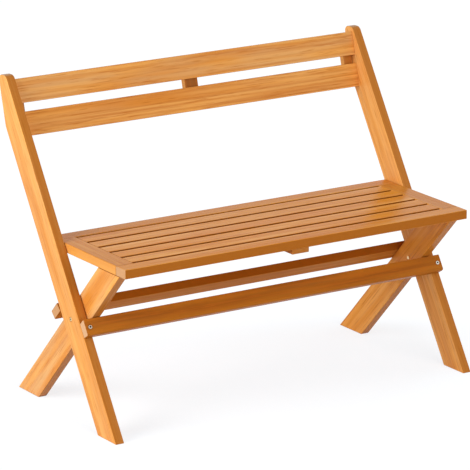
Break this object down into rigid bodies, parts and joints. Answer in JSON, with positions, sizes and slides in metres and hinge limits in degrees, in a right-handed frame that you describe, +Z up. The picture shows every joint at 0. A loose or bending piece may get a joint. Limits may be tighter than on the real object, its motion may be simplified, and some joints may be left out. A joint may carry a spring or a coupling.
{
  "type": "folding garden bench",
  "caption": "Folding garden bench of oiled hardwood: a slatted seat and a leaning slatted back on a crossing X frame that folds nearly flat.",
  "frame": {"origin": "on the floor, in the middle of the open bench's outer box", "axes": "+X along the bench to the right as seen from the front, -Y towards the front, +Z up"},
  "size_m": [1.12, 0.584, 0.8518],
  "materials": {
    "hardwood": "honey-coloured oil, satin",
    "steel": "bright, zinc plated"
  },
  "bodies": {
    "back_frame": {"left_upright": "hardwood", "right_upright": "hardwood", "front_stretcher": "hardwood", "top_back_slat": "hardwood", "lower_back_slat": "hardwood", "left_back_batten": "hardwood", "centre_back_batten": "hardwood", "right_back_batten": "hardwood", "left_front_bolt": "steel", "right_front_bolt": "steel", "left_pivot_bolt": "steel", "right_pivot_bolt": "steel", "left_pivot_nut": "steel", "right_pivot_nut": "steel", "left_pivot_spacer": "steel", "right_pivot_spacer": "steel"},
    "leg_frame": {"left_leg": "hardwood", "right_leg": "hardwood", "rear_stretcher": "hardwood", "left_rear_bolt": "steel", "right_rear_bolt": "steel"},
    "seat": {"seat_front_rail": "hardwood", "seat_rear_rail": "hardwood", "seat_left_rail": "hardwood", "seat_right_rail": "hardwood", "seat_slat_1": "hardwood", "seat_slat_2": "hardwood", "seat_slat_3": "hardwood", "seat_slat_4": "hardwood", "seat_slat_5": "hardwood", "seat_centre_cleat": "hardwood", "left_seat_pin": "steel", "right_seat_pin": "steel", "left_seat_spacer": "steel", "right_seat_spacer": "steel"}
  },
  "joints": [
    {"name": "fold", "type": "hinge", "parent": "back_frame", "child": "leg_frame", "pos_m": [0, -0.06794, 0.27635], "axis": [-1, 0, 0], "range_deg": [0, 64]},
    {"name": "seat_hinge", "type": "hinge", "parent": "back_frame", "child": "seat", "pos_m": [0, 0.0618, 0.4459], "axis": [-1, 0, 0], "range_deg": [0, 115.5]}
  ],
  "couplings": [
    {"joint": "seat_hinge", "follows": "fold", "ratio": 1.8}
  ]
}
